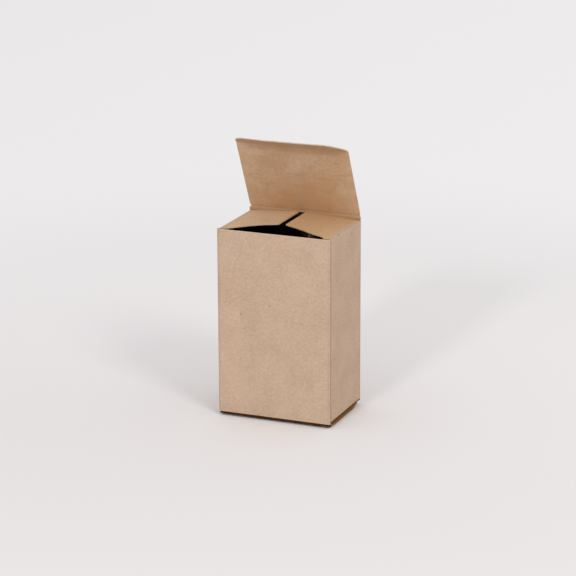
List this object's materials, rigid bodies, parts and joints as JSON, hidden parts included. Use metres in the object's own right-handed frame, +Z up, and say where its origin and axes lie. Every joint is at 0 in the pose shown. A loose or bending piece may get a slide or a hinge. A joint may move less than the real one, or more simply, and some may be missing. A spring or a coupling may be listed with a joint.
{
  "type": "reverse tuck folding carton",
  "caption": "Small kraft board carton folded from one die-cut sheet, with a hinged lid and tuck flap on the back panel and a tucked closure on the front panel's foot.",
  "frame": {"origin": "centre of the flat part of the bottom closure's underside, on the floor", "axes": "+X along the front panel, +Y from the front panel to the back panel, +Z up"},
  "size_m": [0.06, 0.042, 0.1403],
  "materials": {
    "kraft_outside": "matte kraft",
    "kraft_inside": "matte kraft"
  },
  "bodies": {
    "carton": {"carton_body": "kraft_outside"},
    "lid": {"top_lid": "kraft_inside"},
    "tuck": {"top_tuck_flap": "kraft_inside"},
    "closure": {"bottom_closure": "kraft_outside"}
  },
  "joints": [
    {"name": "lid_crease", "type": "hinge", "parent": "carton", "child": "lid", "pos_m": [0, 0.02075, 0.0984], "axis": [-1, 0, 0], "range_deg": [-64.7, 115.3]},
    {"name": "tuck_crease", "type": "hinge", "parent": "lid", "child": "tuck", "pos_m": [0, 0.00336, 0.1352], "axis": [-1, 0, 0], "range_deg": [-51, 42.7]},
    {"name": "bottom_crease", "type": "hinge", "parent": "carton", "child": "closure", "pos_m": [0, -0.02075, 0.0011], "axis": [-1, 0, 0], "range_deg": [0, 170]}
  ]
}
